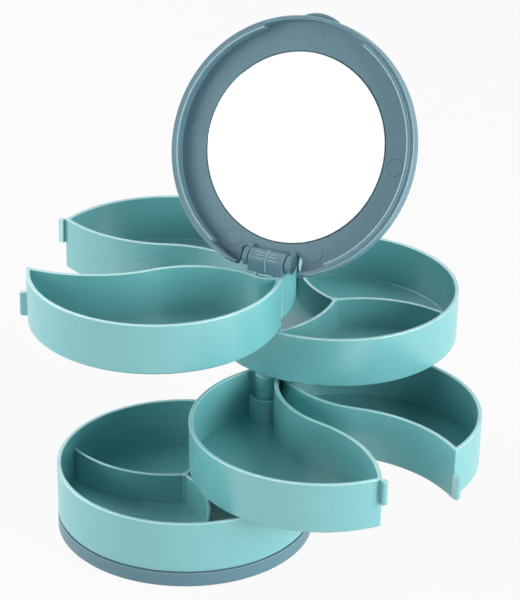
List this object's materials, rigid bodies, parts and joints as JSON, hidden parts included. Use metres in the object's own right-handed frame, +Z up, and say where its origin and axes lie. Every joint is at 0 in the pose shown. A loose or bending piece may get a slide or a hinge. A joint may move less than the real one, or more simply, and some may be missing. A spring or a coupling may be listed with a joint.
{
  "type": "rotating jewellery box",
  "caption": "Round stacked jewellery box whose trays and split trays swing out about one eccentric upright axle, under a hinged lid with a round mirror.",
  "frame": {"origin": "centre of the foot's underside, on the surface the box stands on", "axes": "+Z up, -Y towards the closed box's front, +Y towards the axle at the back"},
  "size_m": [0.1959, 0.1936, 0.1916],
  "materials": {
    "teal_plastic": "satin moulded",
    "slate_plastic": "satin moulded",
    "steel": "ground",
    "nylon": "dyed",
    "foam_pad": "matte foam tape",
    "mirror": "polished"
  },
  "bodies": {
    "base": {"base_foot": "slate_plastic", "base_tray": "teal_plastic", "base_screws": "steel"},
    "swivel": {"axle_rod": "steel", "axle_screw": "steel", "axle_washer": "steel", "spacer_lower": "nylon", "spacer_middle": "nylon", "spacer_upper": "nylon", "hinge_knuckle": "slate_plastic"},
    "lid": {"lid_shell": "slate_plastic", "mirror_pad": "foam_pad", "mirror_glass": "mirror", "hinge_pin": "steel"},
    "lower_right": {"lower_right_tray": "teal_plastic"},
    "lower_left": {"lower_left_tray": "teal_plastic"},
    "middle": {"middle_tray": "teal_plastic"},
    "upper_right": {"upper_right_tray": "teal_plastic"},
    "upper_left": {"upper_left_tray": "teal_plastic"}
  },
  "joints": [
    {"name": "lid_swivel", "type": "hinge", "parent": "base", "child": "swivel", "pos_m": [0, 0.0455, 0.09685], "axis": [0, 0, 1], "continuous": true},
    {"name": "lid_hinge", "type": "hinge", "parent": "swivel", "child": "lid", "pos_m": [-0.00025, 0.04626, 0.10125], "axis": [-0.9483, -0.3173, 0], "range_deg": [-116, 0]},
    {"name": "lower_right_swing", "type": "hinge", "parent": "base", "child": "lower_right", "pos_m": [0, 0.0455, 0.02975], "axis": [0, 0, 1], "continuous": true},
    {"name": "lower_left_fan", "type": "hinge", "parent": "lower_right", "child": "lower_left", "pos_m": [0, 0.0455, 0.02975], "axis": [0, 0, 1], "range_deg": [-21.5, 38.5]},
    {"name": "middle_swing", "type": "hinge", "parent": "base", "child": "middle", "pos_m": [0, 0.0455, 0.0526], "axis": [0, 0, 1], "continuous": true},
    {"name": "upper_right_swing", "type": "hinge", "parent": "base", "child": "upper_right", "pos_m": [0, 0.0455, 0.07545], "axis": [0, 0, 1], "continuous": true},
    {"name": "upper_left_fan", "type": "hinge", "parent": "upper_right", "child": "upper_left", "pos_m": [0, 0.0455, 0.07545], "axis": [0, 0, 1], "range_deg": [-28.5, 31.5]}
  ]
}
